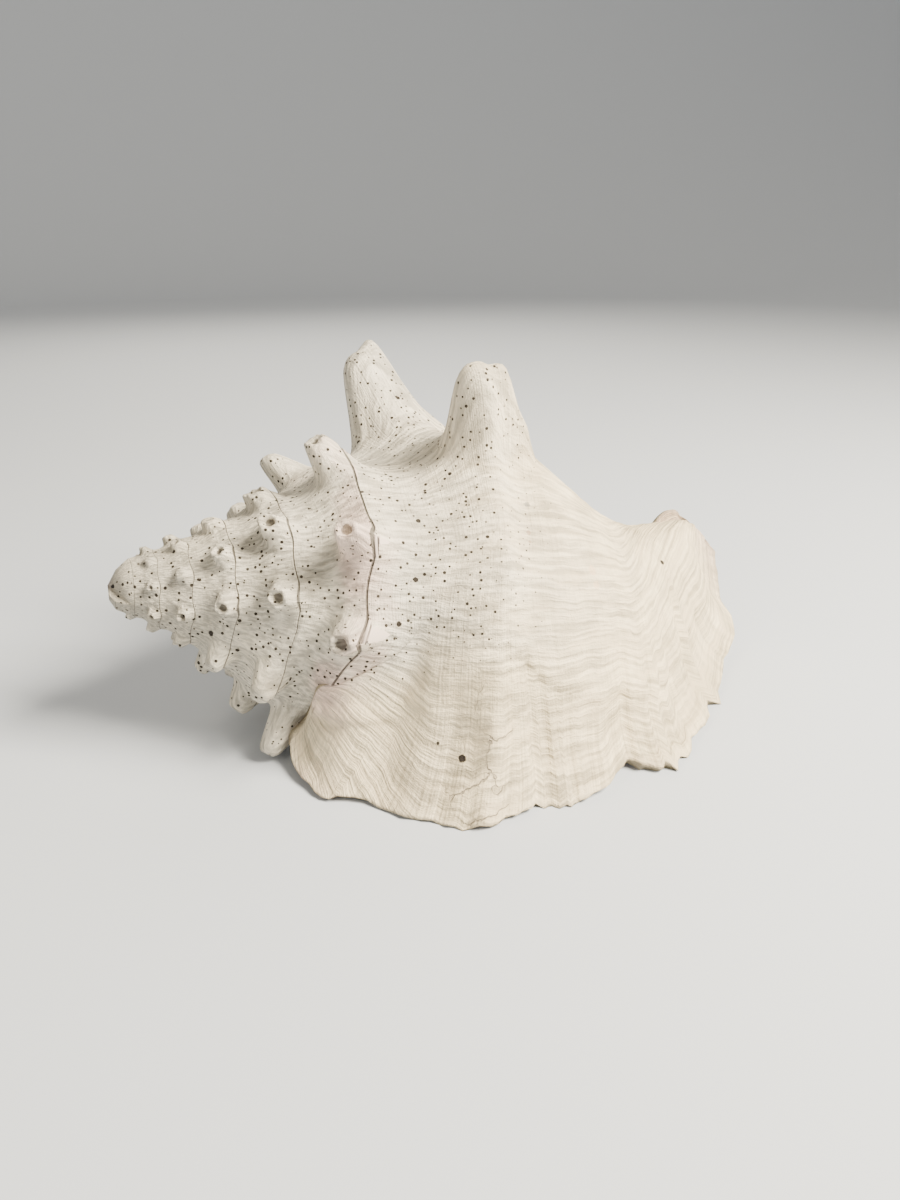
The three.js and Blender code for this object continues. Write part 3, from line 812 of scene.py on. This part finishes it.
    crack_cells = n.add("TexVoronoi", {
        "Vector": n.add("VectorMath", {
            0: place, 1: n.math("MULTIPLY", n.noise(place, 60, 4), 0.02),
        }, operation="ADD").outputs[0],
        "Scale": 60.0,
    }, feature="DISTANCE_TO_EDGE")
    cracks = n.ramp(crack_cells.outputs["Distance"], 0.014, 0.004)
    cracks = n.math("MULTIPLY", cracks, n.ramp(n.noise(place, 30, 2), 0.5, 0.58))
    cracked = n.math("MULTIPLY", n.ramp(side, 0.5, 0.58), n.ramp(side, 0.9, 0.8))
    cracked = n.math("MULTIPLY", cracked, n.ramp(spread, 0.4, 0.5, 0.0, 0.6))
    cracks = n.math("MULTIPLY", cracks, cracked)

    # Painted shade in pores, holes and the suture's crease.
    painted_hollow_shade = n.math("MAXIMUM", pores, n.math("MULTIPLY", suture_groove_and_shade, 0.8))
    colour = n.mix(painted_hollow_shade, colour, tuple(look.painted_shade) + (1,))
    colour = n.mix(cracks, colour, (0.3, 0.25, 0.2, 1))
    colour = n.mix(inside, colour, tuple(look.inside) + (1,))

    height = n.math("MULTIPLY", n.math("MULTIPLY_ADD", lines, 0.9, n.math("MULTIPLY", cords, 0.25)), 0.4)
    height = n.math("MULTIPLY_ADD", grain, 0.12, height)
    height = n.math("MULTIPLY_ADD", blotch, 0.2, height)
    height = n.math("MULTIPLY", height, n.math("SUBTRACT", 1.0, inside))
    height = n.math("SUBTRACT", height, n.math("MULTIPLY", pores, 0.8))
    height = n.math("SUBTRACT", height, n.math("MULTIPLY", suture_groove_and_shade, 0.6))
    height = n.math("SUBTRACT", height, n.math("MULTIPLY", cracks, 0.4))
    bump = n.add("Bump", {"Strength": 1.0, "Distance": 0.0038, "Height": height})
    rough = n.ramp(inside, 0, 1, look.roughness, look.inside_roughness)
    shader = n.add("BsdfPrincipled", {
        "Base Color": colour, "Roughness": rough, "Normal": bump.outputs[0],
    })
    shader.inputs["Specular IOR Level"].default_value = 0.35
    n.add("OutputMaterial", {"Surface": shader.outputs[0]})
    return material


def floor_mesh(flat):
    """A round floor whose rim curves up all round: a profile of radius and height, turned about +Z."""
    rise = np.linspace(0, np.pi / 2, 17)
    radius = np.concatenate([[0], flat + FLOOR_RIM * np.sin(rise)])
    height = np.concatenate([[0], FLOOR_RIM * (1 - np.cos(rise))])
    angle = np.linspace(0, 2 * np.pi, FLOOR_STEPS, endpoint=False)
    points = np.stack([
        radius[:, None] * np.cos(angle),
        radius[:, None] * np.sin(angle),
        np.broadcast_to(height[:, None], (len(radius), FLOOR_STEPS)),
    ], -1)
    index = np.arange(points[..., 0].size).reshape(points.shape[:2])
    after = np.roll(index, -1, axis=1)
    quads = np.stack([index[1:-1], index[2:], after[2:], after[1:-1]], -1).reshape(-1, 4)
    mesh = bpy.data.meshes.new("stage_floor")
    mesh.from_pydata(points.reshape(-1, 3).tolist(), [], [index[1].tolist(), *quads.tolist()])
    mesh.polygons.foreach_set("use_smooth", np.arange(len(mesh.polygons)) > 0)
    return mesh


class ConchForm(bpy.types.PropertyGroup):
    """Sizes of the shell's walls and of what wear and growth leave on it."""

    wall: FloatProperty(name="Wall", description="Thickness of the body wall, mm", default=3.0)
    lip_wall: FloatProperty(name="Lip", description="Thickness of the lip, mm", default=3.6)
    line_height: FloatProperty(name="Growth lines", description="Height, mm", default=0.36)
    cord_height: FloatProperty(name="Spiral cords", description="Height, mm", default=0.19)
    fold_height: FloatProperty(name="Lip folds", description="Height, mm", default=0.95)
    terrace_height: FloatProperty(name="Terrace", description="Height, mm", default=1.1)
    swell_height: FloatProperty(name="Swells", description="Height of broad unevenness, mm", default=0.3)
    margin_wear: FloatProperty(name="Wear", description="How far the margin is worn", default=1.0)


class ConchLook(bpy.types.PropertyGroup):
    """Colours and gloss of the bleached shell."""

    white: FloatVectorProperty(
        name="White", description="Chalky white of the spire", subtype="COLOR",
        size=3, default=(0.80, 0.74, 0.62),
    )
    cream: FloatVectorProperty(
        name="Cream", description="Cream of the lip", subtype="COLOR",
        size=3, default=(0.89, 0.76, 0.52),
    )
    straw: FloatVectorProperty(
        name="Straw", description="Straw-coloured growth bands of the lip", subtype="COLOR",
        size=3, default=(0.80, 0.67, 0.46),
    )
    pink: FloatVectorProperty(
        name="Pink", description="Faded pink", subtype="COLOR", size=3, default=(0.80, 0.60, 0.53),
    )
    # Painted shade inside pores, holes and the open tips of broken spines, and in the crease of the
    # sutures.
    painted_shade: FloatVectorProperty(
        name="Painted shade", description="Dirt in pores and sutures", subtype="COLOR",
        size=3, default=(0.03, 0.023, 0.017),
    )
    inside: FloatVectorProperty(
        name="Inside", description="Faded pink inside", subtype="COLOR",
        size=3, default=(0.80, 0.66, 0.58),
    )
    roughness: FloatProperty(name="Roughness", description="Of the outside", default=0.72)
    inside_roughness: FloatProperty(name="Inside roughness", description="Of the inside", default=0.38)


class ConchStage(bpy.types.PropertyGroup):
    """The floor, the lights and the camera."""

    floor: FloatVectorProperty(
        name="Floor", description="Colour of the floor", subtype="COLOR",
        size=3, default=(0.53, 0.57, 0.64),
    )
    camera_place: FloatVectorProperty(
        name="Camera", description="Where the camera stands", subtype="TRANSLATION", unit="LENGTH",
        size=3, default=(-0.0032, -0.27465, 0.1626),
    )
    camera_pitch: FloatProperty(
        name="Pitch", description="How far the camera looks down", subtype="ANGLE",
        default=math.radians(24.28),
    )
    lens: FloatProperty(name="Lens", description="Focal length, mm", default=27.03)
    floor_radius: FloatProperty(
        name="Floor radius", description="Flat part of the floor, before its rim curves up",
        unit="LENGTH", default=1.4,
    )


class CONCH_OT_shell(bpy.types.Operator):
    """Builds the shell in place of its plain solid"""

    bl_idname = "conch.shell"
    bl_label = "Build shell"

    def execute(self, context):
        form = context.scene.conch_form
        coil, grids = shell_grids(form)
        mesh = make_mesh("shell_outside", *join(grids))
        shell = bpy.data.objects.new("shell_surface", mesh)
        context.scene.collection.objects.link(shell)
        shell.data.materials.append(shell_material(context.scene.conch_look, coil, form))
        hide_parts("shell")
        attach(shell, "root")
        return {"FINISHED"}


class CONCH_OT_stage(bpy.types.Operator):
    """Adds a plain pale floor, soft studio light and the camera"""

    bl_idname = "conch.stage"
    bl_label = "Build stage"

    def execute(self, context):
        look = context.scene.conch_stage
        mesh = floor_mesh(look.floor_radius)
        floor = bpy.data.objects.new("stage_floor", mesh)
        context.scene.collection.objects.link(floor)
        material = bpy.data.materials.new("stage_floor")
        n = Nodes(material)
        shader = n.add("BsdfPrincipled", {"Base Color": tuple(look.floor) + (1,), "Roughness": 0.8})
        n.add("OutputMaterial", {"Surface": shader.outputs[0]})
        floor.data.materials.append(material)

        world = bpy.data.worlds.new("studio")
        world.use_nodes = True
        world.node_tree.nodes["Background"].inputs["Color"].default_value = (1.0, 0.96, 0.88, 1)
        world.node_tree.nodes["Background"].inputs["Strength"].default_value = 0.3
        context.scene.world = world
        for name, place, size, power in (
            ("key", (0.6, -0.22, 0.68), 0.4, 44.0),
            ("fill", (-0.5, -0.7, 0.5), 0.7, 3.0),
            ("back", (-0.2, 0.8, 0.6), 0.7, 6.0),
        ):
            light = bpy.data.lights.new(name, "AREA")
            light.size = size
            light.energy = power
            light.color = (1.0, 0.9, 0.72)
            lamp = bpy.data.objects.new(name, light)
            lamp.location = place
            lamp.rotation_euler = (Vector((0, 0, 0.04)) - Vector(place)).to_track_quat("-Z", "Y").to_euler()
            context.scene.collection.objects.link(lamp)

        camera = bpy.data.cameras.new("camera")
        camera.lens = look.lens
        camera.sensor_width = 36.0
        seen = bpy.data.objects.new("camera", camera)
        seen.location = look.camera_place
        seen.rotation_euler = (math.pi / 2 - look.camera_pitch, 0, 0)
        context.scene.collection.objects.link(seen)
        context.scene.camera = seen
        return {"FINISHED"}


class CONCH_PT_panel(bpy.types.Panel):
    """Lists the shell's operators and properties"""

    bl_label = "Conch"
    bl_idname = "CONCH_PT_panel"
    bl_space_type = "VIEW_3D"
    bl_region_type = "UI"
    bl_category = "Conch"

    def draw(self, context):
        layout = self.layout
        for group in (context.scene.conch_form, context.scene.conch_look, context.scene.conch_stage):
            box = layout.box()
            for key in group.__annotations__:
                box.prop(group, key)
        layout.operator("conch.shell")
        layout.operator("conch.stage")


CLASSES = (
    ConchForm,
    ConchLook,
    ConchStage,
    CONCH_OT_shell,
    CONCH_OT_stage,
    CONCH_PT_panel,
)


def register():
    for cls in CLASSES:
        bpy.utils.register_class(cls)
    bpy.types.Scene.conch_form = PointerProperty(type=ConchForm)
    bpy.types.Scene.conch_look = PointerProperty(type=ConchLook)
    bpy.types.Scene.conch_stage = PointerProperty(type=ConchStage)


def unregister():
    del bpy.types.Scene.conch_stage
    del bpy.types.Scene.conch_look
    del bpy.types.Scene.conch_form
    for cls in reversed(CLASSES):
        bpy.utils.unregister_class(cls)


def main():
    register()
    bpy.ops.conch.shell()
    bpy.ops.conch.stage()


if __name__ == "__main__":
    main()
